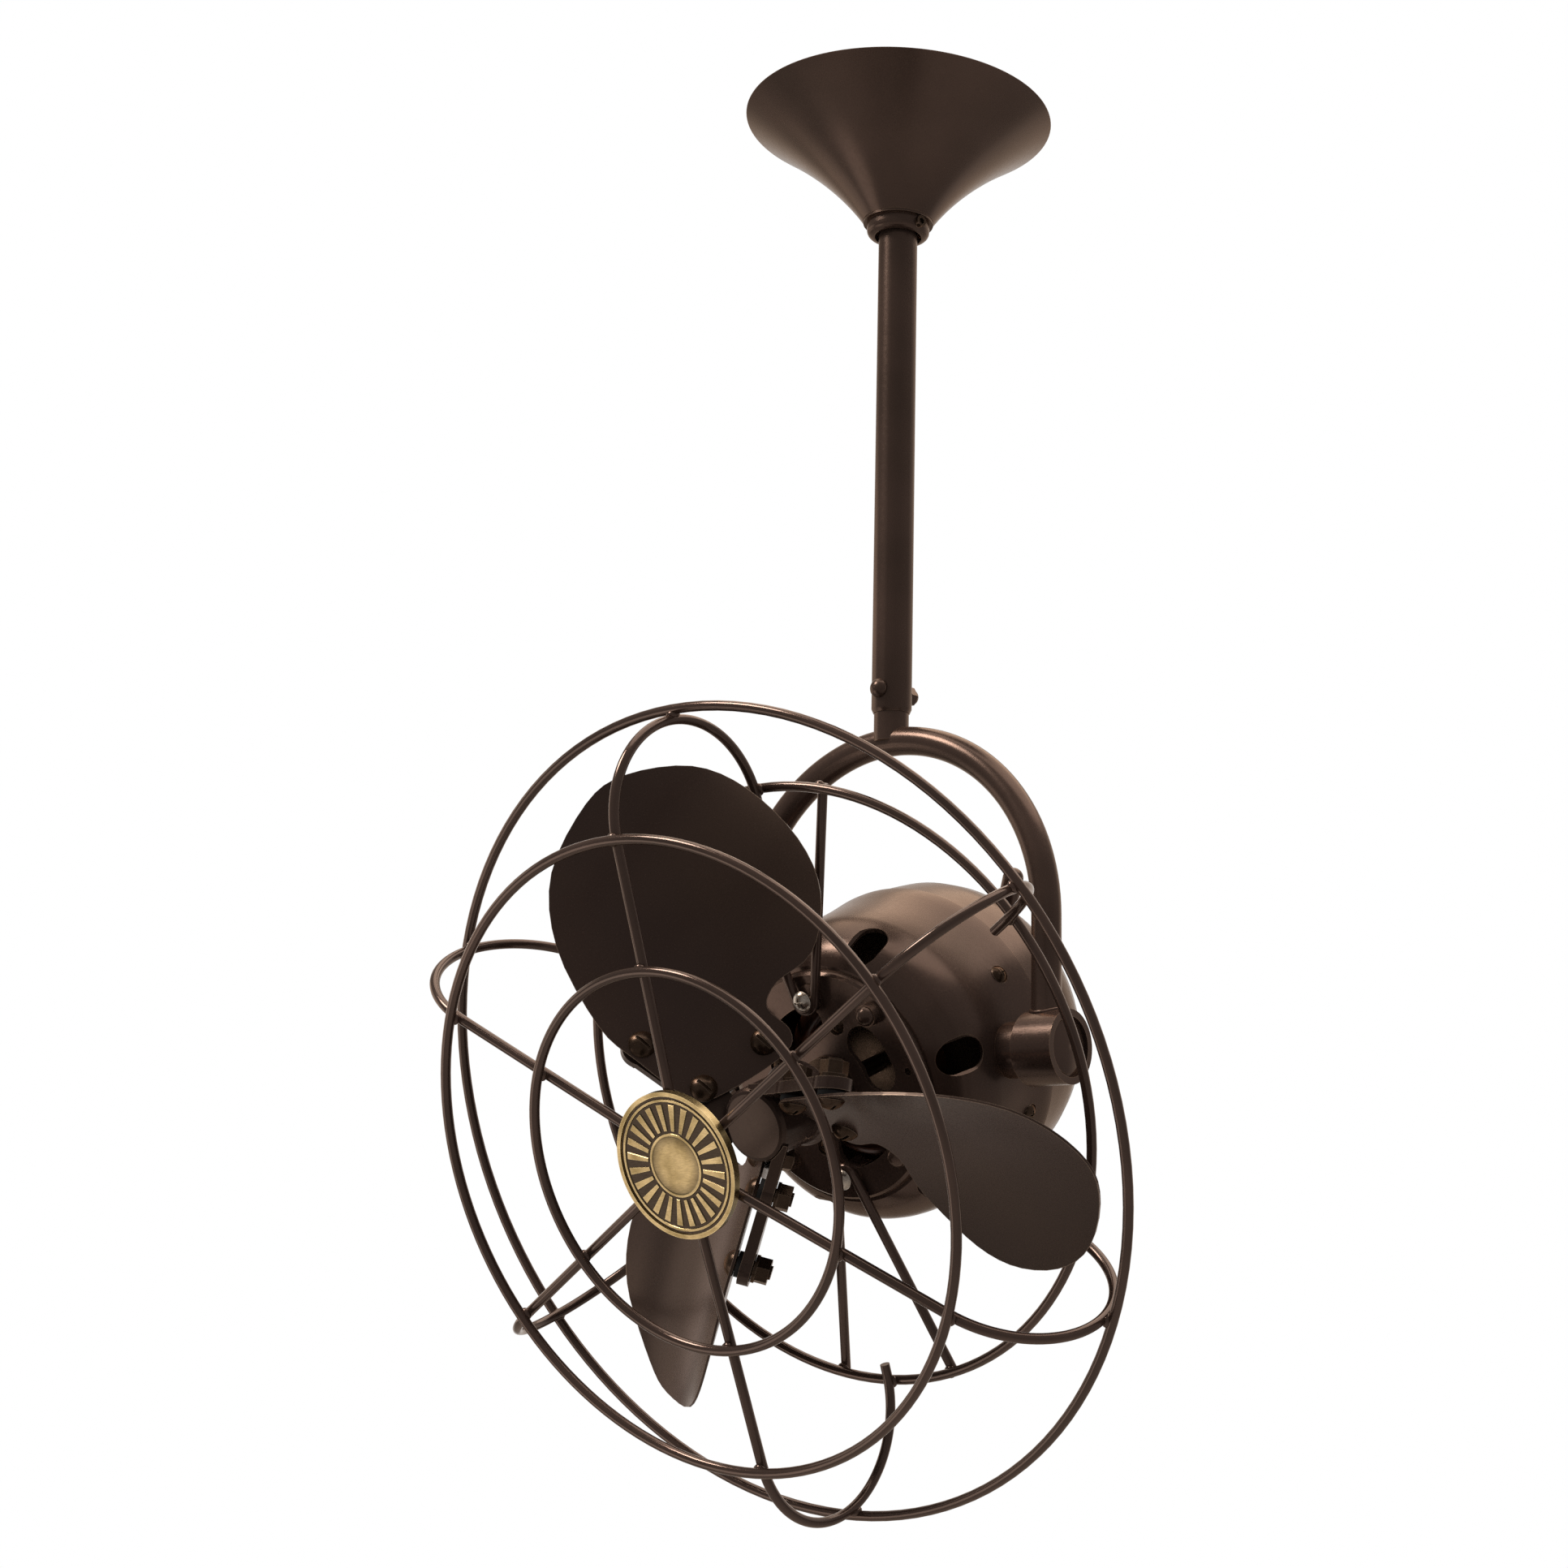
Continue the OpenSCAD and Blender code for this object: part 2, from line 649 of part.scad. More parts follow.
module front_shell() {
    outer = front_curve(0);
    inner = front_curve(shell_wall);
    step_s = face_s - face_step;
    color(bronze) in_head() difference() {
        union() {
            rotate_extrude() polygon(concat(
                outer,
                [[face_r + 0.6, step_s], [face_r, face_s - 2.2], [face_r - 1.2, face_s - 1],
                 [0, face_s - 1], [0, plate_s], [face_r - 4, plate_s]],
                [for (i = [len(inner) - 1:-1:0]) inner[i]]
            ));
            translate([0, 0, bearing_s - 2]) cylinder(r = bearing_boss_r, h = face_s - bearing_s + 2);
            side_bosses(pivot_boss_r, side_r - 5, pivot_boss_x);
            face_posts(tie_turn, tie_r, tie_boss_r, plate_s - 6, face_s);
            face_posts(strut_turn, strut_screw_r, strut_boss_r, plate_s - 8, face_s, 2);
        }
        ring_of(kidney_n, kidney_turn) kidney_cut();
        ring_of(vent_n, vent_turn) vent_cut();
        translate([0, 0, bearing_s]) cylinder(r = bearing_r + seat_fit, h = bearing_w + 2);
        translate([0, 0, bearing_s - 3]) cylinder(r = bearing_r - 2.5, h = 4);
        face_posts(tie_turn, tie_r, tie_bolt_r + run_fit, plate_s - 8, face_s + 1);
        face_posts(rib_turn, face_screw_at, face_screw_r + seat_fit, plate_s - 1, face_s + 1);
        face_posts(rib_turn, face_screw_at, face_screw_r + 2.4, face_s - 2, face_s + 1);
        face_posts(strut_turn, strut_screw_r, strut_screw_shank_r + seat_fit, plate_s - 10, face_s + 1, 2);
        face_posts(vent_turn, tie_r, 1.8, plate_s - 1, face_s + 1, 2);
        side_bosses(pivot_r + seat_fit, side_r - 8, pivot_boss_x + 1);
        at_shell_screws() {
            translate([0, 0, -9]) cylinder(r = shell_screw_r + seat_fit, h = 12);
            cylinder(r = shell_screw_head_r + 0.3, h = 6);
        }
    }
}
module rear_shell() {
    outer = dome_curve(0);
    inner = dome_curve(shell_wall);
    spigot_r = shell_r - shell_wall - 0.3;
    lug_x = lug_reach - lug_r;
    back_s = -seam_back - dome_l;
    color(dark_bronze) in_head() difference() {
        union() {
            rotate_extrude() polygon(concat(
                outer,
                [for (i = [len(inner) - 1:-1:1]) inner[i]],
                [[spigot_r - spigot_t, -seam_back], [spigot_r - spigot_t, -seam_back + spigot_h],
                 [spigot_r, -seam_back + spigot_h], [spigot_r, -seam_back]]
            ));
            intersection() {
                union() {
                    translate([0, 0, back_s])
                        cylinder(r = bearing_boss_r, h = rear_bearing_s + bearing_w - back_s);
                    face_posts(tie_turn, tie_r, tie_boss_r, back_s, -seam_back - 22);
                    translate([capacitor_x, 0, back_s])
                        cylinder(r = capacitor_r - 2, h = capacitor_s - back_s);
                }
                rotate_extrude() polygon(concat([[0, 0], [dome_r, 0]], dome_curve(shell_wall / 2)));
            }
            rotate([0, 0, lug_turn]) translate([0, 0, lug_s]) {
                translate([lug_x - 20, 0, 0]) rotate([0, 90, 0]) cylinder(r = lug_r, h = 20);
                translate([lug_x, 0, 0]) sphere(r = lug_r);
            }
        }
        translate([0, 0, rear_bearing_s]) cylinder(r = bearing_r + seat_fit, h = dome_l);
        translate([0, 0, rear_bearing_s - 3]) cylinder(r = bearing_r - 2.5, h = 4);
        face_posts(tie_turn, tie_r, tie_bolt_r + run_fit, tie_head_s - 1, 0);
        face_posts(tie_turn, tie_r, 4, back_s - 1, tie_head_s);
        rotate([0, 0, lug_turn]) translate([lug_x, lug_r + 1, lug_s]) rotate([90, 0, 0])
            cylinder(r = lug_hole_r, h = 2 * lug_r + 2);
        rotate([0, 0, lug_turn]) translate([0, 0, lug_s]) rotate([0, 90, 0])
            cylinder(r = lug_r + 1, h = 40);
    }
}
module shell_screws() {
    color(blackened) in_head() at_shell_screws() translate([0, 0, face_fit])
        pan_screw(shell_screw_r, 8, shell_screw_head_r, 2.6);
}
module tie_bolts() {
    color(steel) in_head() ring_of(4, tie_turn) translate([tie_r, 0, tie_head_s]) {
        cylinder(r = tie_bolt_r, h = face_s - tie_head_s + 5);
        translate([0, 0, -3]) hex(3.8, 3);
    }
}
module acorn_nuts() {
    color(dark_bronze) in_head() ring_of(4, tie_turn) translate([tie_r, 0, face_s]) difference() {
        union() {
            cylinder(r = tie_boss_r - 0.2, h = 3.4);
            translate([0, 0, 3.4]) dome_head(tie_boss_r - 0.8, 3.8);
        }
        translate([0, 0, -1]) cylinder(r = tie_bolt_r + seat_fit, h = 6.2);
    }
}
module face_screws() {
    color(blackened) in_head() ring_of(kidney_n, rib_turn) translate([face_screw_at, 0, face_s - 2])
        pan_screw(face_screw_r, 3.4, face_screw_r + 2.1, 1.6);
}
module stator_core() {
    color(blackened) in_head() difference() {
        translate([0, 0, stator_back]) tube(stator_r, stator_bore, stator_l);
        face_posts(tie_turn, tie_r, tie_bolt_r + run_fit, stator_back - 1, stator_back + stator_l + 1);
        at_shell_screws() translate([0, 0, -10]) cylinder(r = shell_screw_r + seat_fit, h = 10);
    }
}
module winding_ring(s) {
    mid = (winding_r1 + winding_r2) / 2;
    half = (winding_r2 - winding_r1) / 2;
    translate([0, 0, s]) rotate_extrude() translate([mid - half, 0]) {
        square([2 * half, winding_h - half]);
        translate([half, winding_h - half]) intersection() {
            circle(r = half);
            translate([-half, 0]) square(2 * half);
        }
    }
}
module windings() {
    color(copper) in_head() {
        winding_ring(stator_back + stator_l);
        mirror([0, 0, 1]) winding_ring(-stator_back);
    }
}
module bearing(s) {
    color(steel) in_head() translate([0, 0, s]) tube(bearing_r, shaft_r + seat_fit, bearing_w);
}
module front_bearing() {
    bearing(bearing_s);
}
module rear_bearing() {
    bearing(rear_bearing_s);
}
module bearing_retainer() {
    color(blackened) in_head() translate([0, 0, face_s]) tube(bearing_boss_r, shaft_r + 1, retainer_t);
}
module capacitor() {
    color("#c9c4b8") in_head() translate([capacitor_x, 0, capacitor_s])
        cylinder(r = capacitor_r, h = capacitor_l);
}

// Wire guard
// A wire bent round by a turn from the X axis, then straight on for l
module bent_wire(r, turn, lead, l) {
    rotate_extrude(angle = turn) translate([r, 0]) circle(r = wire_r + bend_swell);
    translate([r, bend_lap, 0]) rotate([90, 0, 0]) cylinder(r = wire_r, h = lead + bend_lap);
    rotate([0, 0, turn]) translate([r, -bend_lap, 0]) rotate([-90, 0, 0])
        cylinder(r = wire_r, h = l + bend_lap);
}
module wire_ring(r, s) {
    in_head() translate([0, 0, s]) rotate_extrude() translate([r, 0]) circle(r = wire_r);
}
module guard_main_ring() {
    color(bronze) wire_ring(main_ring_r, main_ring_s);
}
module guard_outer_ring() {
    color(bronze) wire_ring(outer_ring_r, outer_ring_s);
}
module guard_inner_ring() {
    color(bronze) wire_ring(inner_ring_r, inner_ring_s);
}
module guard_rear_ring() {
    color(bronze) wire_ring(rear_ring_r, rear_ring_s);
}
// One spoke: a straight front leg, a half-round side bend and a short rear leg
module guard_spoke(i) {
    front_l = (front_tangent_r - spoke_root) / cos(guard_dish);
    color(bronze) in_head() rotate([0, 0, spoke_turn + (i - 1) * 360 / spoke_n]) {
        translate([guard_bend_at, 0, guard_bend_s]) rotate([90, 0, 0]) rotate([0, 0, -90])
            bent_wire(guard_bend_r, 180 - guard_dish, guard_leg_end, front_l);
    }
}
module guard_plate() {
    color(bronze) in_head() translate([0, 0, plate_front - plate_t])
        tube(plate_r, rivet_r + seat_fit, plate_t);
}
module badge() {
    color(brass) in_head() translate([0, 0, badge_back]) difference() {
        cylinder(r = badge_r, h = badge_t);
        translate([0, 0, badge_t - badge_dish]) cylinder(r = badge_r - badge_rim_w, h = badge_t);
        translate([0, 0, -1]) cylinder(r = rivet_r + seat_fit, h = 2.4);
    }
}
module badge_rivet() {
    back = plate_front - plate_t;
    color(steel) in_head() translate([0, 0, back]) {
        cylinder(r = rivet_r, h = badge_back + 1.2 - back);
        translate([0, 0, -1.4]) cylinder(r = rivet_r + 2, h = 1.4);
    }
}
// One strut: a wire bent round its screw, with two legs that lean back behind the rear ring
module strut(side) {
    end_x = rear_ring_r * sin(strut_spread);
    end_y = strut_out / cos(strut_lean);
    reach = norm([end_x, end_y]);
    leg_turn = atan2(end_x, end_y) - asin(strut_loop_r / reach);
    leg_l = sqrt(reach * reach - strut_loop_r * strut_loop_r) + wire_r / 2;
    color(bronze) in_head() rotate([0, 0, side]) translate([0, strut_screw_r, strut_s])
        rotate([-strut_lean, 0, 0]) rotate([0, 0, 180 + leg_turn])
        bent_wire(strut_loop_r, 180 - 2 * leg_turn, leg_l, leg_l);
}
module strut_top() {
    strut(0);
}
module strut_bottom() {
    strut(180);
}
module strut_screws() {
    color(brass) in_head() ring_of(2, strut_turn) translate([strut_screw_r, 0, strut_head_s])
        pan_screw(strut_screw_shank_r, wire_d + 8, strut_screw_head_r, 3);
}

// Rotor
module shaft() {
    back = rear_bearing_s - shaft_back;
    color(steel) in_head() translate([0, 0, back]) cylinder(r = shaft_r, h = hub_nose_s - 4 - back);
}
module rotor_core() {
    color(steel) in_head() translate([0, 0, stator_back])
        tube(stator_bore - rotor_gap, shaft_r + seat_fit, stator_l);
}
module hub() {
    color(dark_bronze) in_head() difference() {
        rotate_extrude() polygon(concat(
            [[shaft_r + seat_fit, hub_boss_back], [hub_boss_r, hub_boss_back], [hub_boss_r, hub_back_s],
             [hub_flare_r, hub_back_s]],
            [for (k = [0:0.25:1])
                bow([hub_flare_r, hub_back_s + 3], [hub_r, hub_back_s + 5], [hub_r, hub_back_s + 12], k)],
            [[hub_r, hub_nose_s - 2], [hub_r - 1, hub_nose_s - 0.5], [hub_r - 2.4, hub_nose_s],
             [0, hub_nose_s], [0, hub_nose_s - 4], [shaft_r + seat_fit, hub_nose_s - 4]]
        ));
        translate([0, 0, hub_boss_back + 3]) rotate([90, 0, 0])
            cylinder(r = hub_screw_r + seat_fit, h = hub_boss_r + 1);
    }
}
module hub_screw() {
    color(blackened) in_head() translate([0, -shaft_r - seat_fit, hub_boss_back + 3]) rotate([90, 0, 0])
        cylinder(r = hub_screw_r, h = hub_boss_r - shaft_r - 0.5);
}
// Part of a sheet rolled about the blade's curve axis, between two depths behind it
module rolled_sheet(depth0, depth1) {
    translate([0, 0, blade_curve_r]) rotate([0, 90, 0]) translate([0, 0, -blade_l])
        tube(blade_curve_r + depth1, blade_curve_r + depth0, 3 * blade_l);
}
module blade(i) {
    outline = [for (p = blade_shape) [blade_root + p[0] / 100 * blade_l, (p[1] / 100 - 0.5) * blade_w]];
    color(dark_bronze) in_blade(i) difference() {
        intersection() {
            rolled_sheet(-blade_t / 2, blade_t / 2);
            translate([0, 0, blade_curve_r]) rotate([curve_turn(chord_mid), 0, 0])
                translate([0, 0, -blade_curve_r - sheet_clear])
                linear_extrude(blade_sag + sheet_clear) polygon(smooth(outline, blade_steps));
        }
        for (p = blade_screw_at) on_curve(p[0], p[1]) translate([0, 0, -sheet_clear])
            cylinder(r = blade_screw_r + run_fit, h = 2 * sheet_clear);
    }
}
module blade_iron(i) {
    depth = blade_t / 2 + iron_gap;
    flat = [for (p = blade_screw_at) [p[0], blade_curve_r * sin(curve_turn(p[1] - iron_turn))]];
    color(blackened) in_blade(i) difference() {
        intersection() {
            rolled_sheet(depth, depth + iron_t);
            translate([0, 0, blade_curve_r]) rotate([curve_turn(iron_turn), 0, 0])
                translate([0, 0, -blade_curve_r - depth - iron_t - 2]) linear_extrude(iron_t + hub_r) {
                for (p = flat) translate(p) circle(r = iron_w / 2 + iron_pad);
                bar(flat[0], flat[1], iron_w);
                bar(flat[1], [iron_root, flat[1][1]], iron_w);
                bar(flat[1], flat[2], iron_w);
            }
        }
        for (p = blade_screw_at) on_curve(p[0], p[1]) translate([0, 0, -depth - iron_t - 2])
            cylinder(r = blade_screw_r + run_fit, h = iron_t + 4);
        rotate([-blade_pitch, 0, 0]) rotate([0, blade_cone, 0]) translate([0, 0, hub_boss_back - blade_s])
            cylinder(r = hub_r + seat_fit, h = 3 * hub_r);
    }
}
module blade_screws() {
    depth = blade_t / 2 + iron_gap + iron_t + blade_washer_t + blade_nut_h + 1.2;
    seat = blade_t / 2 + blade_head_lift;
    color(blackened) for (i = [1:blade_n], p = blade_screw_at) in_blade(i) on_curve(p[0], p[1]) {
        translate([0, 0, -depth]) cylinder(r = blade_screw_r, h = depth + seat);
        translate([0, 0, seat]) difference() {
            dome_head(blade_head_r, blade_head_h);
            translate([-blade_head_r, -0.7, blade_head_h - 1.5]) cube([2 * blade_head_r, 1.4, 2]);
        }
    }
}
module blade_spacers() {
    color(black_rubber) for (i = [1:blade_n], p = blade_screw_at) in_blade(i) on_curve(p[0], p[1])
        translate([0, 0, spacer_lift - blade_t / 2 - iron_gap])
        tube(spacer_r, blade_screw_r + run_fit, iron_gap - 2 * spacer_lift);
}
module blade_nuts() {
    back = -blade_t / 2 - iron_gap - iron_t - blade_head_lift;
    color(blackened) for (i = [1:blade_n], p = blade_screw_at) in_blade(i) on_curve(p[0], p[1])
        translate([0, 0, back - blade_washer_t - blade_nut_h]) difference() {
        union() {
            hex(blade_nut_r, blade_nut_h);
            translate([0, 0, blade_nut_h]) cylinder(r = blade_washer_r, h = blade_washer_t);
        }
        translate([0, 0, -1]) cylinder(r = blade_screw_r + seat_fit, h = blade_nut_h + blade_washer_t + 2);
    }
}

hanger_bracket();
hanger_bolt();
hanger_nut();
ground_screw();
canopy();
canopy_collar();
collar_screw();
downrod();
cross_bolt();
cross_bolt_nut();
yoke();
pivot_bushes();
pivot_caps();
pivot_bolts();
pivot_washers();
front_shell();
rear_shell();
shell_screws();
tie_bolts();
acorn_nuts();
face_screws();
stator_core();
windings();
front_bearing();
rear_bearing();
bearing_retainer();
capacitor();
guard_main_ring();
guard_outer_ring();
guard_inner_ring();
guard_rear_ring();
guard_spoke(1);  // guard_spoke_1
guard_spoke(2);  // guard_spoke_2
guard_spoke(3);  // guard_spoke_3
guard_spoke(4);  // guard_spoke_4
guard_spoke(5);  // guard_spoke_5
guard_spoke(6);  // guard_spoke_6
guard_plate();
badge();
badge_rivet();
strut_top();
strut_bottom();
strut_screws();
shaft();
rotor_core();
hub();
hub_screw();
blade_iron(1);  // blade_iron_1
blade_iron(2);  // blade_iron_2
blade_iron(3);  // blade_iron_3
blade(1);  // blade_1
blade(2);  // blade_2
blade(3);  // blade_3
blade_screws();
blade_spacers();
blade_nuts();
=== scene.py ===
"""Finishes, weld beads and small trims of a caged directional ceiling fan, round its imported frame.

Lengths are in metres. The head's own frame has X along the pivots, Y up the face and Z forward
along the shaft, and its origin is where the tilt axis crosses the shaft.
"""

import json
import math

import bpy
from bpy.props import FloatProperty, FloatVectorProperty, IntProperty, PointerProperty
from mathutils import Matrix, Vector


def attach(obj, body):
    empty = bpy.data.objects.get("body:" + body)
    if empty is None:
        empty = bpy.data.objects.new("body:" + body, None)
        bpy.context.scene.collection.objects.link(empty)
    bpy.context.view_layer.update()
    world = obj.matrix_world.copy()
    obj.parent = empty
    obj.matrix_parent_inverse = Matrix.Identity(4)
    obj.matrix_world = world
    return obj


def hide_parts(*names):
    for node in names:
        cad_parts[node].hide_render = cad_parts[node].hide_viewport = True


bl_info = {
    "name": "Directional Ceiling Fan",
    "version": (1, 0, 0),
    "blender": (4, 5, 0),
    "location": "View3D > Sidebar > Ceiling Fan",
    "description": "Finishes, weld beads and trims of a caged directional ceiling fan",
    "category": "Object",
}

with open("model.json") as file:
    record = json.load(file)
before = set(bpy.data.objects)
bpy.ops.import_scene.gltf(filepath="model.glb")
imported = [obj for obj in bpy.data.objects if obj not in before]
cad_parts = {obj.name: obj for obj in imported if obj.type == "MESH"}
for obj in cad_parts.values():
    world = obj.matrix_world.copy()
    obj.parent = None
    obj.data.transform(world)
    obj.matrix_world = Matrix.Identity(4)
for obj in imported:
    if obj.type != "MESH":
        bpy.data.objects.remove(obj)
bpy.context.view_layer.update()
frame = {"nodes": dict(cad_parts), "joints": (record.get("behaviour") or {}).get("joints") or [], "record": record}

MM = 0.001
# Lighter edges reach about this far in from an edge: partly wear, partly a painted highlight where an edge would
# catch the light
EDGE_WEAR_AND_HIGHLIGHT = 0.5 * MM

TILT_JOINT = next(j for j in frame["joints"] if j["name"] == "head_tilt")
SPIN_JOINT = next(j for j in frame["joints"] if j["name"] == "blade_spin")
PIVOT = Vector(TILT_JOINT["pos_m"])
FORWARD = Vector(SPIN_JOINT["axis"]).normalized()
ACROSS = Vector((1, 0, 0))
HEAD_TURN = Matrix((ACROSS, FORWARD.cross(ACROSS), FORWARD)).transposed()
HEAD = Matrix.Translation(PIVOT) @ HEAD_TURN.to_4x4()

# The guard's side bends turn about this point: distance from the shaft, distance forward
BEND_AT, BEND_FORWARD = 131.8 * MM, 90.85 * MM
SPOKE_TURNS = [math.radians(30 + 60 * i) for i in range(6)]
STRUT_SPREAD = math.radians(13)
WIRES = (
    "guard_main", "guard_outer", "guard_inner", "guard_rear", "guard_spoke",
    "strut_top", "strut_bottom",
)

# A yoke leg's distance from the middle and its radius, and the radius of its barrel
LEG_X, LEG_R, BARREL_R = 89.6 * MM, 6.75 * MM, 16.5 * MM

# The badge's rim, and how deep its face lies in it
RIM_W, RECESS = 1.95 * MM, 0.68 * MM
# Its face from the rim inwards, as widths in mm and rises in shares of the relief: ground, a
# raised ring, ground, the rays' band, ground, and a second ring round a low boss
FACE_STEPS = (
    (1.0, 0), (0.25, 1), (0.9, 0), (0.25, -1), (0.8, 0), (11.5, 0), (0.8, 0), (0.25, 1),
    (0.9, 0), (0.5, -0.6), (5.0, 0.4),
)
# Where the rays' band starts and ends, in from the face's edge
BAND_START, BAND_END = 3.2 * MM, 14.7 * MM
RAY_SLOPE = 0.25 * MM

# The photograph's camera, fitted to the guard, the rod and the canopy. Its centre lies nearer
# the middle than the fitted one, so that the other views keep the fan in the frame
IMAGE = 1932
CAMERA_AT = (0.67497, -0.83015, -0.55031)
CAMERA_RIGHT = (0.84039, 0.54190, -0.00939)
CAMERA_UP = (0.12076, -0.17034, 0.97796)
CAMERA_FOCAL = 2840.7
CAMERA_CENTRE = (1410, 927.7)

FLOOR_Z, FLOOR_R = -2.4, 6.0
# Each lamp's name, place, diameter and power in watts, all aimed at the fan's middle
LAMPS = (
    ("top_softbox", (0.05, 0.4, 1.25), 2.7, 42.0),
    ("key_softbox", (-0.9, -1.2, 1.2), 0.75, 38.0),
    ("left_softbox", (-2.1, -0.35, -0.3), 1.6, 6.5),
    ("low_softbox", (-1.2, -1.15, -1.25), 1.0, 3.6),
    ("right_softbox", (1.8, 0.9, 0.0), 1.6, 9.0),
)
LAMP_COLOUR = (1.0, 0.94, 0.87)
LAMPS_AIM = Vector((0, 0, -0.42))
# The white backdrop stands on this side of the fan
BACKDROP = Vector((-0.37, 0.91, 0.17)).normalized()
# The studio's walls: their light on the fan, and how bright metal shows them off the backdrop
WALL_LIGHT, WALL_SHOWN = 0.55, 0.3


def hex_colour(text):
    """Turns an sRGB hex value into a linear colour."""
    parts = [int(text[i : i + 2], 16) / 255 for i in (1, 3, 5)]
    return tuple(p / 12.92 if p <= 0.04045 else ((p + 0.055) / 1.055) ** 2.4 for p in parts) + (1,)


# ---------------------------------------------------------------- sizes and colours


class FanFinishes(bpy.types.PropertyGroup):
    """Colours of the fan's paints and brass"""

    bronze: FloatVectorProperty(
        name="Bronze",
        description="Body colour of the rubbed bronze paint",
        default=hex_colour("#41332d"), size=4, min=0, max=1, subtype="COLOR",
    )
    bronze_rub: FloatVectorProperty(
        name="Rubbed bronze",
        description="Colour of the browner coat where the paint is rubbed thin",
        default=hex_colour("#4f3e37"), size=4, min=0, max=1, subtype="COLOR",
    )
    blade: FloatVectorProperty(
        name="Blade",
        description="Colour of the blades' satin paint",
        default=hex_colour("#352a27"), size=4, min=0, max=1, subtype="COLOR",
    )
    brass: FloatVectorProperty(
        name="Brass",
        description="Colour of the aged brass",
        default=hex_colour("#b59d73"), size=4, min=0, max=1, subtype="COLOR",
    )
    peel: FloatProperty(
        name="Paint peel",
        description="Width of the paint's orange peel",
        default=0.0022, unit="LENGTH",
    )


class FanWelds(bpy.types.PropertyGroup):
    """Sizes of the weld beads"""

    bead: FloatProperty(
        name="Bead radius",
        description="Radius of a weld bead at a wire crossing",
        default=0.0024, unit="LENGTH",
    )
    barrel_bead: FloatProperty(
        name="Barrel bead",
        description="Radius of the weld bead round each yoke leg",
        default=0.0009, unit="LENGTH",
    )


class FanBadge(bpy.types.PropertyGroup):
    """The badge's plain ornament"""

    rays: IntProperty(
        name="Rays",
        description="Raised rays round the badge's face",
        default=24, min=12, max=48,
    )
    relief: FloatProperty(
        name="Relief",
        description="Height of the badge's raised rays and rings",
        default=0.0004, unit="LENGTH",
    )


# ---------------------------------------------------------------- materials


def add(tree, kind, inputs=(), **settings):
    """Adds a node with its settings, and sets or links its inputs."""
    node = tree.nodes.new(kind)
    for name, value in settings.items():
        setattr(node, name, value)
    for name, value in dict(inputs).items():
        if isinstance(value, bpy.types.NodeSocket):
            tree.links.new(value, node.inputs[name])
        else:
            node.inputs[name].default_value = value
    return node


def surface(name, tones, patch, grain, gloss, lift, stretch=(1, 1, 1), edge=None, **shader):
    """Starts a finish: two tones in soft patches, and a grain that shows in gloss and relief.

    patch and grain are the widths of the patches and of the grain, lift is the grain's height,
    gloss is the lowest and highest roughness, stretch makes the grain finer along an axis, and
    edge is the lighter tone painted on edges and inner corners, partly as wear and partly as a painted highlight.
    """
    material = bpy.data.materials.new(name)
    material.use_nodes = True
    tree = material.node_tree
    sockets = tree.nodes["Principled BSDF"].inputs
    for socket, value in shader.items():
        sockets[socket.replace("_", " ")].default_value = value
    place = add(tree, "ShaderNodeTexCoord").outputs["Object"]
    patches = add(
        tree, "ShaderNodeTexNoise", {"Vector": place, "Scale": 1 / patch, "Detail": 3.0}
    ).outputs["Fac"]
    # Noise keeps near its middle, so an inner span of it is stretched over the whole range
    share = add(
        tree, "ShaderNodeMapRange", {"Value": patches, "From Min": 0.35, "From Max": 0.7}
    ).outputs["Result"]
    # A Mix node's colours go in at 6 and 7, and their mixture comes out at 2
    colour = add(
        tree, "ShaderNodeMix", {0: share, 6: tones[0], 7: tones[1]}, data_type="RGBA"
    ).outputs[2]
    drawn = add(tree, "ShaderNodeMapping", {"Vector": place, "Scale": stretch}).outputs["Vector"]
    fine = add(
        tree, "ShaderNodeTexNoise", {"Vector": drawn, "Scale": 1 / grain, "Detail": 2.0}
    ).outputs["Fac"]
    rough = add(tree, "ShaderNodeMapRange", {
        "Value": fine, "From Min": 0.3, "From Max": 0.75, "To Min": gloss[0], "To Max": gloss[1],
    }).outputs["Result"]
    bump = add(
        tree, "ShaderNodeBump", {"Strength": 1.0, "Distance": lift, "Height": fine}
    ).outputs["Normal"]
    if edge:
        # Edges and inner corners, where the rounded normal leaves the true one, take a lighter tone: partly wear,
        # and partly a painted highlight where an edge would catch the light
        rounded = add(tree, "ShaderNodeBevel", {"Radius": EDGE_WEAR_AND_HIGHLIGHT}, samples=4).outputs["Normal"]
        true = add(tree, "ShaderNodeNewGeometry").outputs["Normal"]
        same = add(
            tree, "ShaderNodeVectorMath", {0: rounded, 1: true}, operation="DOT_PRODUCT"
        ).outputs["Value"]
        edge_wear_and_highlight = add(tree, "ShaderNodeMapRange", {
            "Value": same, "From Min": 0.8, "From Max": 0.95, "To Min": 1.0, "To Max": 0.0,
        }).outputs["Result"]
        colour = add(
            tree, "ShaderNodeMix", {0: edge_wear_and_highlight, 6: colour, 7: edge}, data_type="RGBA"
        ).outputs[2]
    tree.links.new(colour, sockets["Base Color"])
    tree.links.new(rough, sockets["Roughness"])
    tree.links.new(bump, sockets["Normal"])
    return material


def rubbed_bronze(name, finish, gloss, edge=hex_colour("#7a6252"), **shader):
    """Oil-rubbed bronze paint, sprayed over steel and rubbed by hand."""
    # Sprayed, so it has a soft orange peel. Rubbed, so browner clouds 60 mm wide show through
    # Its edges take a paler tone, partly wear and partly a painted highlight
    return surface(
        name, (finish.bronze, finish.bronze_rub), patch=60 * MM, grain=finish.peel, gloss=gloss,
        lift=0.0012 * MM, edge=edge, Metallic=0.6, Specular_Tint=hex_colour("#e2c6ae"), **shader,
    )


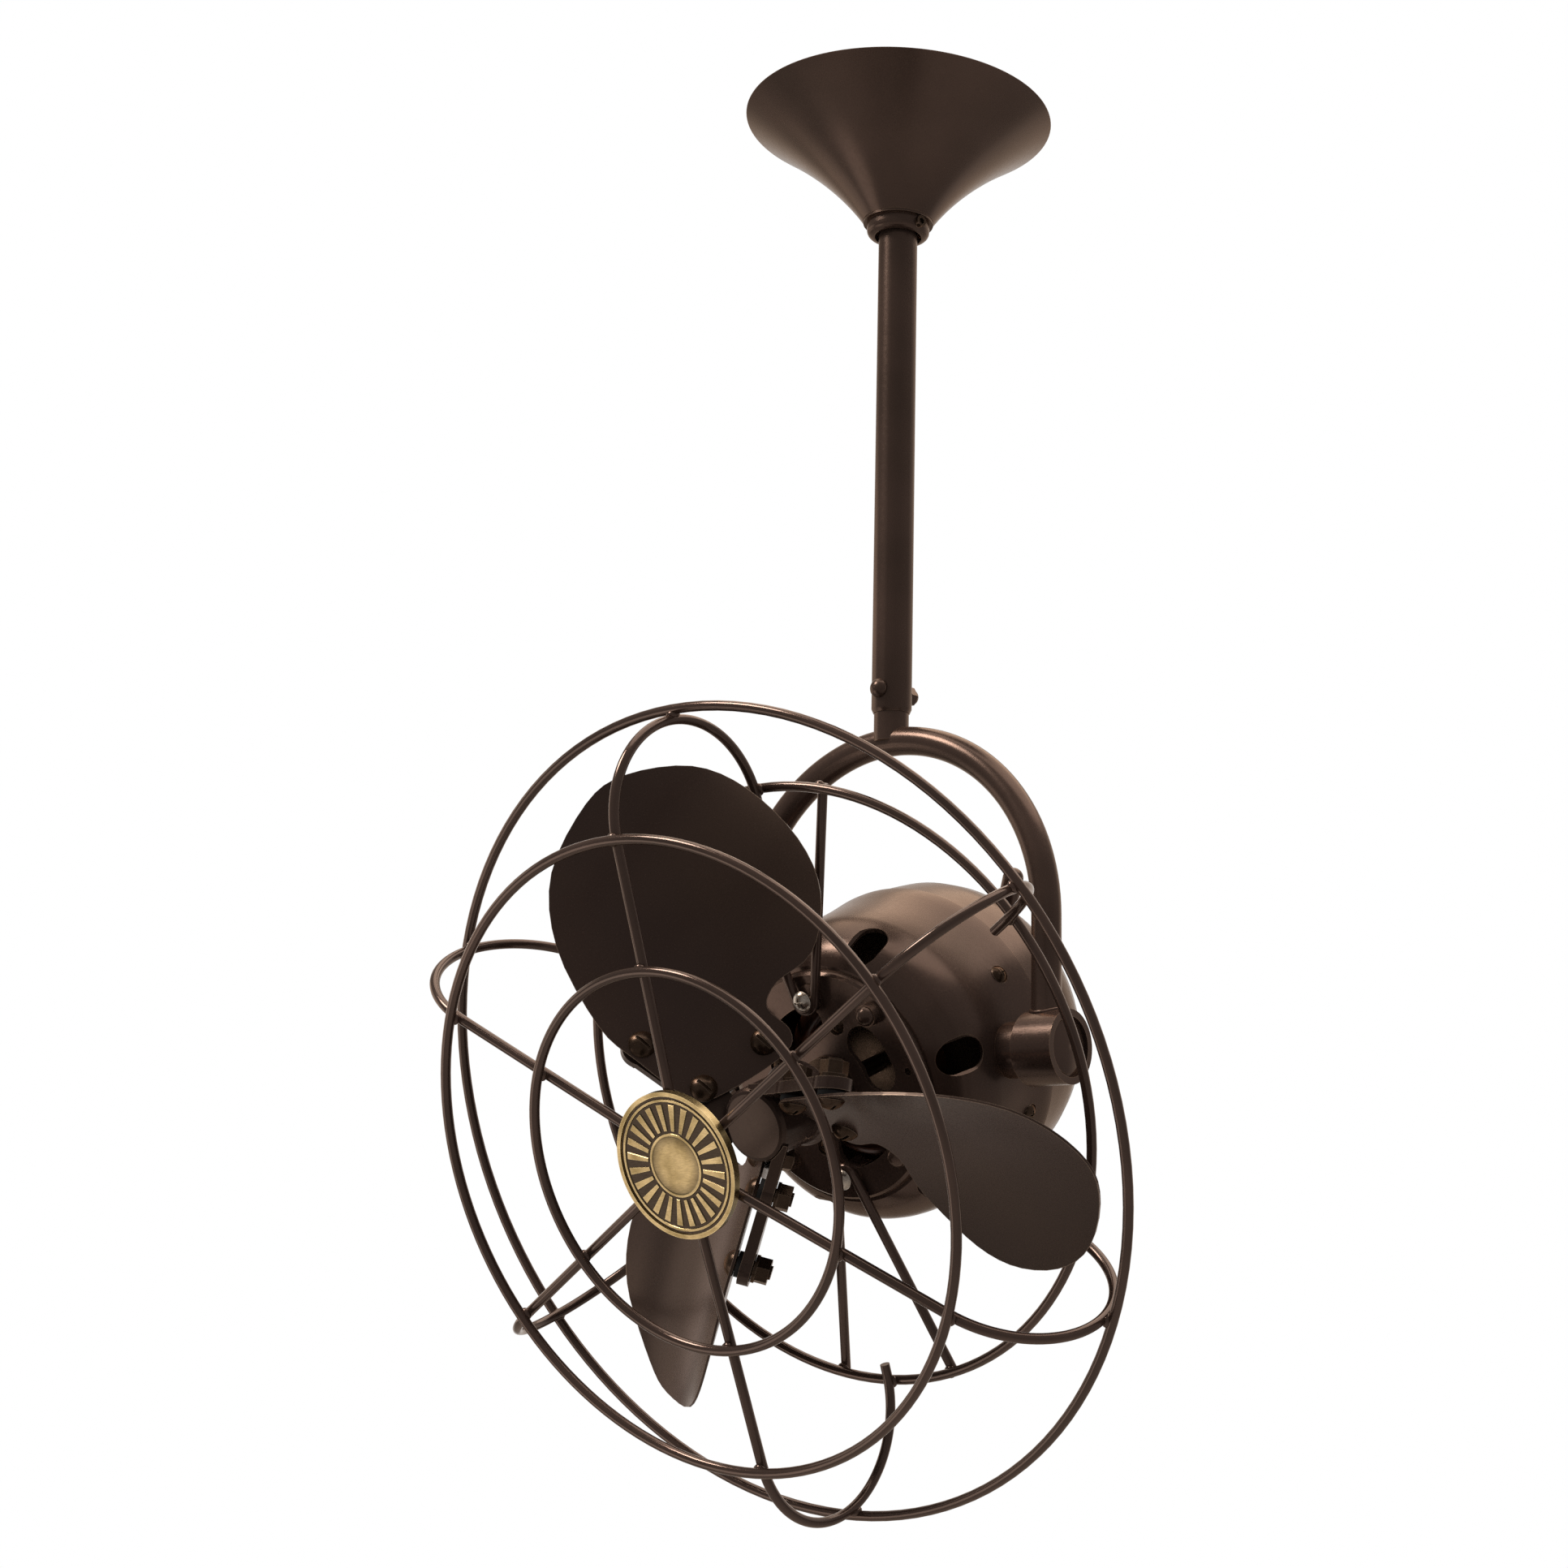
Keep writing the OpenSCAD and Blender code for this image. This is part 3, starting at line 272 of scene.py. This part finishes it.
def satin_bronze(name, finish):
    """Satin dark bronze paint on sheet, sprayed and not rubbed."""
    # Flatter than the body's paint: an even, nearly black brown with a fine dry-spray grain
    # Its edges take a paler tone, partly wear and partly a painted highlight
    return surface(
        name, (finish.blade, hex_colour("#3d302a")), patch=90 * MM, grain=1.1 * MM,
        gloss=(0.22, 0.29), lift=0.003 * MM, edge=hex_colour("#8b7767"), Metallic=0.4,
        Specular_IOR_Level=0.35, Specular_Tint=hex_colour("#d8b698"),
    )


def blackened_steel(name):
    """Steel blackened in hot oil."""
    # Oil blackening leaves a thin dark skin. Its edges are painted paler, partly as wear where a tool has touched
    # them and partly as a painted highlight
    return surface(
        name, (hex_colour("#33271f"), hex_colour("#41332a")), patch=8 * MM, grain=0.9 * MM,
        gloss=(0.24, 0.32), lift=0.003 * MM, edge=hex_colour("#6d5c50"), Metallic=0.75,
        Specular_Tint=hex_colour("#d8b698"),
    )


def machined_steel(name):
    """Steel turned or stamped and left bare."""
    # Tool lines run across it 0.4 mm apart, coarser than the real ones so that they show
    return surface(
        name, (hex_colour("#827d76"), hex_colour("#928e87")), patch=20 * MM, grain=3.6 * MM,
        gloss=(0.3, 0.4), lift=0.006 * MM, stretch=(1, 1, 9), edge=hex_colour("#c2bfb8"),
        Metallic=1.0,
    )


def tarnished_nickel(name):
    """Nickel-plated brass screws that have toned down."""
    # Plating stays bright on the crown and greys with a warm film in patches
    return surface(
        name, (hex_colour("#9a8d80"), hex_colour("#c0b4a8")), patch=4 * MM, grain=1.2 * MM,
        gloss=(0.22, 0.34), lift=0.004 * MM, edge=hex_colour("#c9bdb0"), Metallic=1.0,
    )


def aged_brass(name, finish):
    """Brass, turned and left to tone down."""
    # A warm grey bloom dulls it in patches, and wiping leaves fine scratches one way
    return surface(
        name, (hex_colour("#836f49"), finish.brass), patch=14 * MM, grain=2.4 * MM,
        gloss=(0.24, 0.4), lift=0.006 * MM, stretch=(1, 7, 7), edge=hex_colour("#cdb98c"),
        Metallic=1.0,
    )


def patinated_brass(name, finish, ground):
    """Brass blackened in a bath and wiped back, so that only what stands proud is bright."""
    material = aged_brass(name, finish)
    tree = material.node_tree
    base = tree.nodes["Principled BSDF"].inputs["Base Color"]
    # The height of a point over the badge's ground, forward along the shaft
    place = add(tree, "ShaderNodeTexCoord").outputs["Object"]
    depth = add(
        tree, "ShaderNodeVectorMath", {0: place, 1: FORWARD}, operation="DOT_PRODUCT"
    ).outputs["Value"]
    wiped = add(tree, "ShaderNodeMapRange", {
        "Value": depth, "From Min": ground + 0.08 * MM, "From Max": ground + 0.3 * MM,
    }).outputs["Result"]
    bright = base.links[0].from_socket
    colour = add(
        tree, "ShaderNodeMix", {0: wiped, 6: hex_colour("#3a3027"), 7: bright}, data_type="RGBA"
    ).outputs[2]
    tree.links.new(colour, base)
    return material


def wound_copper(name):
    """Enamelled copper wire, wound by machine and dipped in varnish."""
    # The varnish shines over brown turns of wire, 0.4 mm apart across the ring
    return surface(
        name, (hex_colour("#3a1f12"), hex_colour("#6b3a1f")), patch=20 * MM, grain=1.6 * MM,
        gloss=(0.35, 0.6), lift=0.12 * MM, stretch=(1, 4, 1), Metallic=0.8, Coat_Weight=0.5,
        Coat_Roughness=0.2,
    )


def make_materials(finish):
    """Every finish of the fan, by the record's material slot."""
    return {
        "bronze_paint": rubbed_bronze("Oil_rubbed_bronze_paint", finish, (0.24, 0.29)),
        "blade_paint": satin_bronze("Satin_dark_bronze_paint", finish),
        "blackened_steel": blackened_steel("Oil_blackened_steel"),
        "bright_steel": machined_steel("Machined_steel"),
        "aged_brass": aged_brass("Aged_brass", finish),
        "varnished_copper": wound_copper("Varnished_copper_winding"),
        # Dipped rubber: matt, with a fine powdery bloom
        "black_rubber": surface(
            "Dipped_black_rubber", (hex_colour("#161514"), hex_colour("#211f1e")),
            patch=11 * MM, grain=0.8 * MM, gloss=(0.68, 0.8), lift=0.015 * MM,
        ),
        # Brushed enamel on a screw head: glossy, and thick enough to pool
        "green_paint": surface(
            "Green_enamel", (hex_colour("#2f6b38"), hex_colour("#3c7c45")),
            patch=11 * MM, grain=1 * MM, gloss=(0.3, 0.4), lift=0.01 * MM,
        ),
        # Moulded plastic can: spark-eroded mould, so an even fine grain
        "pale_plastic": surface(
            "Moulded_pale_plastic", (hex_colour("#b9b3a6"), hex_colour("#c6c1b5")),
            patch=11 * MM, grain=0.7 * MM, gloss=(0.48, 0.58), lift=0.012 * MM,
        ),
    }


# ---------------------------------------------------------------- modelling helpers


def start_fresh():
    """Back to object mode with nothing selected."""
    if bpy.context.object and bpy.context.object.mode != "OBJECT":
        bpy.ops.object.mode_set(mode="OBJECT")
    bpy.ops.object.select_all(action="DESELECT")


def select_only(pieces):
    """Selects these pieces alone, with the first one active."""
    start_fresh()
    for piece in pieces:
        piece.select_set(True)
    bpy.context.view_layer.objects.active = pieces[0]


def join_pieces(pieces, name):
    """Joins pieces into one object that stands at the origin, unturned and unscaled."""
    select_only(pieces)
    if len(pieces) > 1:
        bpy.ops.object.join()
    bpy.ops.object.transform_apply(location=True, rotation=True, scale=True)
    joined = bpy.context.object
    joined.name = joined.data.name = name
    return joined


def copy_to(piece, matrix):
    """A copy of a piece, with its own mesh, put where the matrix says."""
    copied = piece.copy()
    copied.data = piece.data.copy()
    bpy.context.scene.collection.objects.link(copied)
    copied.matrix_world = matrix
    return copied


def finish_piece(piece, material, body, angle=40):
    """Smooths a piece up to an angle in degrees, and gives it its finish and its body."""
    select_only([piece])
    bpy.ops.object.shade_smooth_by_angle(angle=math.radians(angle))
    piece.data.materials.clear()
    piece.data.materials.append(material)
    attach(piece, body)


def head_span(node):
    """A node's reach in the head's frame: widest distance from the shaft, and its two depths."""
    to_head = HEAD.inverted()
    points = [to_head @ v.co for v in frame["nodes"][node].data.vertices]
    depths = [p.z for p in points]
    return max(math.hypot(p.x, p.y) for p in points), min(depths), max(depths)


def on_head(turn, reach, forward):
    """A matrix at a spot of the head: X away from the shaft, Y round it, Z forward."""
    return HEAD @ Matrix.Rotation(turn, 4, "Z") @ Matrix.Translation((reach, 0, forward))


# ---------------------------------------------------------------- operators


class FAN_OT_finishes(bpy.types.Operator):
    """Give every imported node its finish"""

    bl_idname = "fan.finishes"
    bl_label = "Finishes"

    def execute(self, context):
        finish = context.scene.fan_finishes
        materials = make_materials(finish)
        # Nodes whose finish differs from the rest of their slot
        special = {
            # Wax over the wires' paint gives them thin, clear highlights
            "wire": rubbed_bronze(
                "Waxed_bronze_wire", finish, (0.15, 0.19), edge=None,
                Coat_Weight=0.15, Coat_Roughness=0.08,
            ),
            # Turned smooth before they were painted, so they shine more than the yoke
            "pivot_caps": rubbed_bronze("Polished_bronze_paint", finish, (0.1, 0.14)),
            "strut_screws": tarnished_nickel("Tarnished_nickel_plate"),
            "rotor_core": blackened_steel("Varnished_lamination_steel"),
        }
        slots = {s["node"]: s["material_slot"] for s in frame["record"]["subparts"]}
        for name, node in frame["nodes"].items():
            node.data.materials.clear()
            kind = "wire" if name.startswith(WIRES) else name
            node.data.materials.append(special.get(kind) or materials[slots[name]])
        return {"FINISHED"}


class FAN_OT_spun_skins(bpy.types.Operator):
    """Smooth the turned and bent profiles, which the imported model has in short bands"""

    bl_idname = "fan.spun_skins"
    bl_label = "Spun skins"

    def execute(self, context):
        paint = bpy.data.materials["Oil_rubbed_bronze_paint"]
        for node, body in (
            ("canopy", "stand"), ("downrod", "stand"), ("yoke", "stand"),
            ("front_shell", "head"), ("rear_shell", "head"),
        ):
            skin = bpy.data.objects.new(node + "_skin", frame["nodes"][node].data.copy())
            context.scene.collection.objects.link(skin)
            select_only([skin])
            bpy.ops.mesh.customdata_custom_splitnormals_clear()
            bpy.ops.object.mode_set(mode="EDIT")
            bpy.ops.mesh.select_all(action="SELECT")
            bpy.ops.mesh.remove_doubles(threshold=0.002 * MM)
            bpy.ops.object.mode_set(mode="OBJECT")
            finish_piece(skin, paint, body, angle=24)
            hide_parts(node)
        return {"FINISHED"}


class FAN_OT_guard_welds(bpy.types.Operator):
    """Lay a weld bead at every crossing of the guard's wires"""

    bl_idname = "fan.guard_welds"
    bl_label = "Guard welds"

    def execute(self, context):
        start_fresh()
        bpy.ops.mesh.primitive_uv_sphere_add(
            segments=16, ring_count=10, radius=context.scene.fan_welds.bead
        )
        bead = bpy.context.object
        # A bead is wider than it is high
        bpy.ops.object.mode_set(mode="EDIT")
        bpy.ops.mesh.select_all(action="SELECT")
        bpy.ops.transform.resize(value=(1.25, 1.25, 0.85))
        bpy.ops.object.mode_set(mode="OBJECT")
        beads = []
        for ring in ("guard_main_ring", "guard_outer_ring", "guard_rear_ring", "guard_inner_ring"):
            reach, low, high = head_span(ring)
            wire_r = (high - low) / 2
            centre = Vector((reach - wire_r, (low + high) / 2))
            # A ring meets the spokes towards the middle of their bend, the inner one behind itself
            inward = Vector((BEND_AT, BEND_FORWARD)) - centre
            if ring == "guard_inner_ring":
                inward = Vector((0, -1))
            spot = centre + inward.normalized() * wire_r
            lean = Matrix.Rotation(math.atan2(-inward.x, -inward.y), 4, "Y")
            for turn in SPOKE_TURNS:
                beads.append(copy_to(bead, on_head(turn, spot.x, spot.y) @ lean))
        # The struts end behind the rear ring
        reach, low, high = head_span("guard_rear_ring")
        wire_r = (high - low) / 2
        for side in (math.pi / 2, -math.pi / 2):
            for turn in (side - STRUT_SPREAD, side + STRUT_SPREAD):
                beads.append(copy_to(bead, on_head(turn, reach - wire_r, low)))
        bpy.data.objects.remove(bead)
        welds = join_pieces(beads, "guard_welds")
        finish_piece(welds, bpy.data.materials["Waxed_bronze_wire"], "head")
        return {"FINISHED"}


class FAN_OT_barrel_welds(bpy.types.Operator):
    """Run a weld bead round each yoke leg where it meets its barrel"""

    bl_idname = "fan.barrel_welds"
    bl_label = "Barrel welds"

    def execute(self, context):
        bead_r = context.scene.fan_welds.barrel_bead
        # The bead's own middle stands this far out of the leg and of the barrel
        proud = bead_r * 0.25
        start_fresh()
        bpy.ops.mesh.primitive_torus_add(
            major_segments=72, minor_segments=12, major_radius=LEG_R + proud, minor_radius=bead_r
        )
        bead = bpy.context.object
        for vertex in bead.data.vertices:
            across = min(abs(vertex.co.y), LEG_R)
            vertex.co.z += math.sqrt(BARREL_R**2 - across**2) + proud
        beads = [
            copy_to(bead, Matrix.Translation((side * LEG_X, 0, PIVOT.z))) for side in (-1, 1)
        ]
        bpy.data.objects.remove(bead)
        welds = join_pieces(beads, "barrel_welds")
        paint = bpy.data.materials["Oil_rubbed_bronze_paint"]
        finish_piece(welds, paint, "stand", angle=60)
        return {"FINISHED"}


class FAN_OT_badge_face(bpy.types.Operator):
    """Press a plain face of rings and rays into the badge's recess"""

    bl_idname = "fan.badge_face"
    bl_label = "Badge face"

    def execute(self, context):
        badge = context.scene.fan_badge
        reach, _, front = head_span("badge")
        face_r = reach - RIM_W
        floor = front - RECESS
        start_fresh()
        bpy.ops.mesh.primitive_circle_add(
            vertices=badge.rays * 2, radius=face_r, fill_type="NGON"
        )
        face = bpy.context.object
        bpy.ops.object.mode_set(mode="EDIT")
        bpy.ops.mesh.select_mode(type="FACE")
        bpy.ops.mesh.select_all(action="SELECT")
        for width, rise in FACE_STEPS:
            bpy.ops.mesh.inset(thickness=width * MM, depth=rise * badge.relief)
        bpy.ops.object.mode_set(mode="OBJECT")
        # Every other face of the rays' band is raised
        for polygon in face.data.polygons:
            x, y, _ = polygon.center
            turn = math.floor(math.atan2(y, x) * badge.rays / math.pi)
            in_band = face_r - BAND_END < math.hypot(x, y) < face_r - BAND_START
            polygon.select = in_band and turn % 2 == 0
        bpy.ops.object.mode_set(mode="EDIT")
        bpy.ops.mesh.inset(thickness=RAY_SLOPE, depth=badge.relief, use_individual=True)
        bpy.ops.object.mode_set(mode="OBJECT")
        face.matrix_world = HEAD @ Matrix.Translation((0, 0, floor))
        face = join_pieces([face], "badge_face")
        ground = PIVOT.dot(FORWARD) + floor
        brass = patinated_brass("Patinated_brass", context.scene.fan_finishes, ground)
        finish_piece(face, brass, "head", angle=25)
        return {"FINISHED"}


class FAN_OT_stage(bpy.types.Operator):
    """Set the pale floor, the studio lights and the camera"""

    bl_idname = "fan.stage"
    bl_label = "Stage"

    def execute(self, context):
        self.lay_floor()
        for name, spot, size, power in LAMPS:
            bpy.ops.object.light_add(type="AREA", location=spot)
            lamp = bpy.context.object
            lamp.name = lamp.data.name = name
            lamp.data.shape = "DISK"
            lamp.data.size = size
            lamp.data.energy = power
            lamp.data.color = LAMP_COLOUR
            aim = LAMPS_AIM - Vector(spot)
            lamp.rotation_euler = aim.to_track_quat("-Z", "Y").to_euler()
            lamp.visible_camera = False
            # The fill on the right is too soft to be seen in the paint
            lamp.visible_glossy = name != "right_softbox"
        self.light_world(context.scene)
        self.place_camera(context.scene)
        context.scene.view_settings.view_transform = "Standard"
        return {"FINISHED"}

    def lay_floor(self):
        """A pale round floor under the fan."""
        start_fresh()
        bpy.ops.mesh.primitive_circle_add(
            vertices=96, radius=FLOOR_R, fill_type="NGON", location=(0, 0, FLOOR_Z)
        )
        floor = bpy.context.object
        floor.name = floor.data.name = "floor"
        # Painted studio floor: matt and pale
        paint = surface(
            "Pale_studio_paint", (hex_colour("#c6c4c2"), hex_colour("#cac8c6")), patch=400 * MM,
            grain=4 * MM, gloss=(0.8, 0.9), lift=0.05 * MM, Emission_Color=(1, 1, 1, 1),
        )
        # The camera alone sees it glow, fully from 2 m out, so that its edge is lost in the
        # background, and less near the fan, which leaves room for the shadow
        tree = paint.node_tree
        place = add(tree, "ShaderNodeTexCoord").outputs["Object"]
        reach = add(tree, "ShaderNodeVectorMath", {0: place}, operation="LENGTH").outputs["Value"]
        far = add(tree, "ShaderNodeMapRange", {
            "Value": reach, "From Min": 0.8, "From Max": 2.0, "To Min": 0.36, "To Max": 1.0,
        }).outputs["Result"]
        to_camera = add(tree, "ShaderNodeLightPath").outputs["Is Camera Ray"]
        glow = add(tree, "ShaderNodeMath", {0: to_camera, 1: far}, operation="MULTIPLY")
        strength = tree.nodes["Principled BSDF"].inputs["Emission Strength"]
        tree.links.new(glow.outputs[0], strength)
        floor.data.materials.append(paint)

    def light_world(self, scene):
        """White for the camera, and softer for what falls on the fan."""
        world = bpy.data.worlds.new("Studio")
        scene.world = world
        world.use_nodes = True
        tree = world.node_tree
        path = add(tree, "ShaderNodeLightPath").outputs
        seen = add(
            tree, "ShaderNodeMath",
            {0: path["Is Camera Ray"], 1: path["Is Transmission Ray"]}, operation="MAXIMUM",
        ).outputs[0]
        # Metal shows the white backdrop behind the fan, and a dimmer room in front of it
        way = add(tree, "ShaderNodeTexCoord").outputs["Generated"]
        along = add(
            tree, "ShaderNodeVectorMath", {0: way, 1: BACKDROP}, operation="DOT_PRODUCT"
        ).outputs["Value"]
        shown = add(tree, "ShaderNodeMapRange", {
            "Value": along, "From Min": 0.45, "From Max": 0.82, "To Min": WALL_SHOWN, "To Max": 1.0,
        }, interpolation_type="SMOOTHSTEP").outputs["Result"]
        soft = add(
            tree, "ShaderNodeMix", {0: path["Is Glossy Ray"], 2: WALL_LIGHT, 3: shown},
            data_type="FLOAT",
        ).outputs[0]
        level = add(tree, "ShaderNodeMath", {0: seen, 1: soft}, operation="MAXIMUM")
        background = tree.nodes["Background"].inputs
        background["Color"].default_value = (1, 1, 1, 1)
        tree.links.new(level.outputs[0], background["Strength"])

    def place_camera(self, scene):
        """The photograph's view."""
        lens = bpy.data.cameras.new("photo_view")
        camera = bpy.data.objects.new("photo_view", lens)
        scene.collection.objects.link(camera)
        right, up = Vector(CAMERA_RIGHT).normalized(), Vector(CAMERA_UP).normalized()
        turn = Matrix((right, up, right.cross(up))).transposed().to_4x4()
        camera.matrix_world = Matrix.Translation(CAMERA_AT) @ turn
        lens.sensor_width = 36
        lens.lens = CAMERA_FOCAL * lens.sensor_width / IMAGE
        lens.shift_x = (IMAGE / 2 - CAMERA_CENTRE[0]) / IMAGE
        lens.shift_y = (CAMERA_CENTRE[1] - IMAGE / 2) / IMAGE
        lens.clip_start, lens.clip_end = 0.01, 50
        scene.camera = camera


class FAN_PT_panel(bpy.types.Panel):
    """Lists the fan's settings and steps in the sidebar"""

    bl_label = "Directional Ceiling Fan"
    bl_idname = "FAN_PT_panel"
    bl_space_type = "VIEW_3D"
    bl_region_type = "UI"
    bl_category = "Ceiling Fan"

    def draw(self, context):
        for group in ("fan_finishes", "fan_welds", "fan_badge"):
            settings = getattr(context.scene, group)
            box = self.layout.box()
            for name in settings.__annotations__:
                box.prop(settings, name)
        for operator in OPERATORS:
            self.layout.operator(operator.bl_idname)


OPERATORS = (
    FAN_OT_finishes, FAN_OT_spun_skins, FAN_OT_guard_welds, FAN_OT_barrel_welds,
    FAN_OT_badge_face, FAN_OT_stage,
)
CLASSES = (FanFinishes, FanWelds, FanBadge, *OPERATORS, FAN_PT_panel)


def register():
    for cls in CLASSES:
        bpy.utils.register_class(cls)
    bpy.types.Scene.fan_finishes = PointerProperty(type=FanFinishes)
    bpy.types.Scene.fan_welds = PointerProperty(type=FanWelds)
    bpy.types.Scene.fan_badge = PointerProperty(type=FanBadge)


def unregister():
    del bpy.types.Scene.fan_badge
    del bpy.types.Scene.fan_welds
    del bpy.types.Scene.fan_finishes
    for cls in reversed(CLASSES):
        bpy.utils.unregister_class(cls)


def main():
    register()
    bpy.ops.fan.finishes()
    bpy.ops.fan.spun_skins()
    bpy.ops.fan.guard_welds()
    bpy.ops.fan.barrel_welds()
    bpy.ops.fan.badge_face()
    bpy.ops.fan.stage()


if __name__ == "__main__":
    main()
